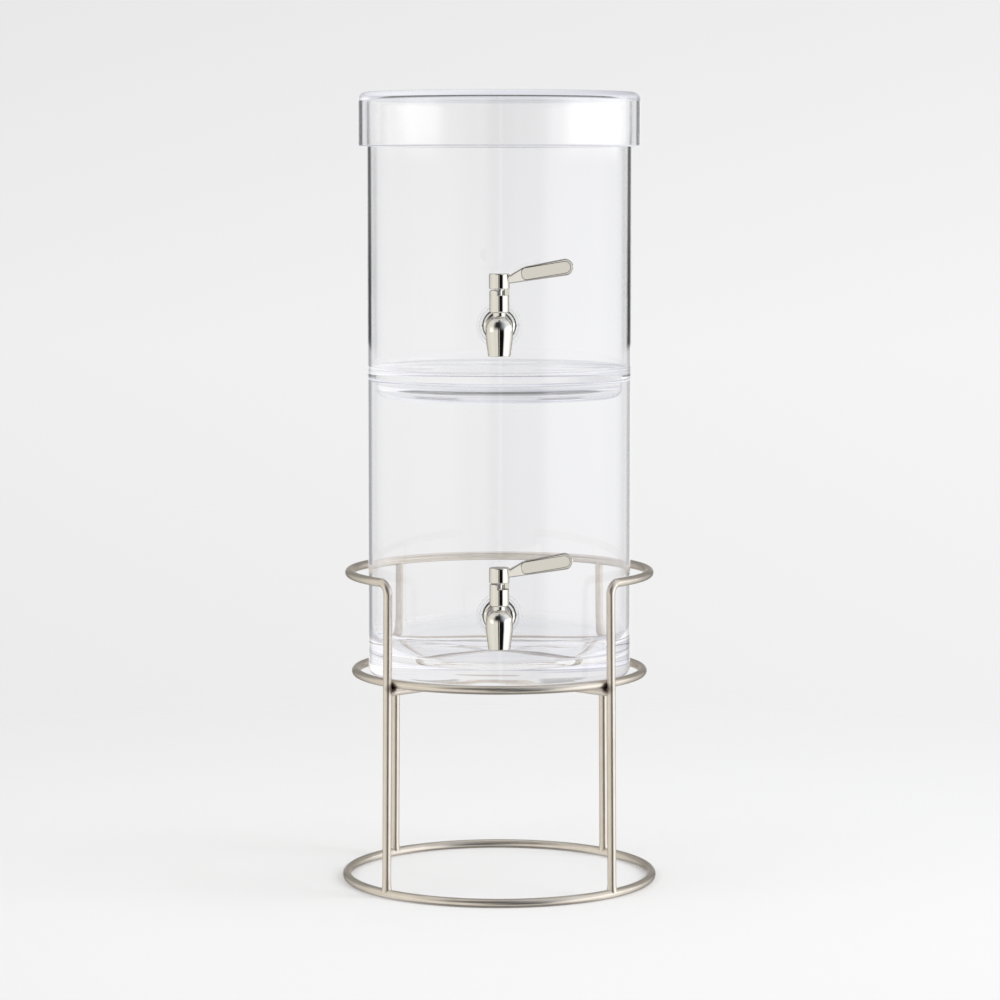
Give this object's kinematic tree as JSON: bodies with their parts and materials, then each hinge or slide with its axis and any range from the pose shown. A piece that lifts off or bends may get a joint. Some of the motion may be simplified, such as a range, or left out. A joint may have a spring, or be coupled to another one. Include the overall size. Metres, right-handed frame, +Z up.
{
  "type": "beverage dispenser",
  "caption": "Stacked glass drink dispensers with metal lever taps and a glass cap, on a round satin wire stand.",
  "frame": {"origin": "the point on the table under the common axis of the rings and the vessels", "axes": "+Z up, -Y towards the taps, +X towards the closed levers"},
  "size_m": [0.2332, 0.2488, 0.5818],
  "materials": {
    "stand_wire": "satin nickel",
    "clear_glass": "clear, fire-polished",
    "tap_metal": "polished nickel",
    "clear_silicone": "translucent",
    "valve_metal": "machined",
    "seal_rubber": "matt"
  },
  "bodies": {
    "stand": {"base_ring": "stand_wire", "seat_ring": "stand_wire", "front_hoop": "stand_wire", "back_leg_left": "stand_wire", "back_leg_right": "stand_wire", "cross_bar": "stand_wire", "cross_bar_left_half": "stand_wire", "cross_bar_right_half": "stand_wire"},
    "lid": {"lid": "clear_glass"},
    "lower_vessel": {"lower_vessel": "clear_glass", "lower_tap_body": "tap_metal", "lower_front_gasket": "clear_silicone", "lower_rear_gasket": "clear_silicone", "lower_washer": "valve_metal", "lower_lock_nut": "valve_metal"},
    "lower_lever": {"lower_lever": "tap_metal", "lower_spindle": "valve_metal", "lower_spindle_seals": "seal_rubber", "lower_spindle_clip": "valve_metal", "lower_set_screw": "valve_metal"},
    "upper_vessel": {"upper_vessel": "clear_glass", "upper_tap_body": "tap_metal", "upper_front_gasket": "clear_silicone", "upper_rear_gasket": "clear_silicone", "upper_washer": "valve_metal", "upper_lock_nut": "valve_metal"},
    "upper_lever": {"upper_lever": "tap_metal", "upper_spindle": "valve_metal", "upper_spindle_seals": "seal_rubber", "upper_spindle_clip": "valve_metal", "upper_set_screw": "valve_metal"}
  },
  "joints": [
    {"name": "lower_vessel_lift", "type": "slide", "parent": "stand", "child": "lower_vessel", "axis": [0, 0, 1], "range_m": [0, 0.09]},
    {"name": "upper_vessel_lift", "type": "slide", "parent": "lower_vessel", "child": "upper_vessel", "axis": [0, 0, 1], "range_m": [0, 0.04]},
    {"name": "lid_lift", "type": "slide", "parent": "upper_vessel", "child": "lid", "axis": [0, 0, 1], "range_m": [0, 0.05]},
    {"name": "lower_lever_turn", "type": "hinge", "parent": "lower_vessel", "child": "lower_lever", "pos_m": [0, -0.1225, 0.208], "axis": [0, 0, -1], "range_deg": [0, 90]},
    {"name": "upper_lever_turn", "type": "hinge", "parent": "upper_vessel", "child": "upper_lever", "pos_m": [0, -0.1225, 0.4152], "axis": [0, 0, -1], "range_deg": [0, 90]}
  ]
}
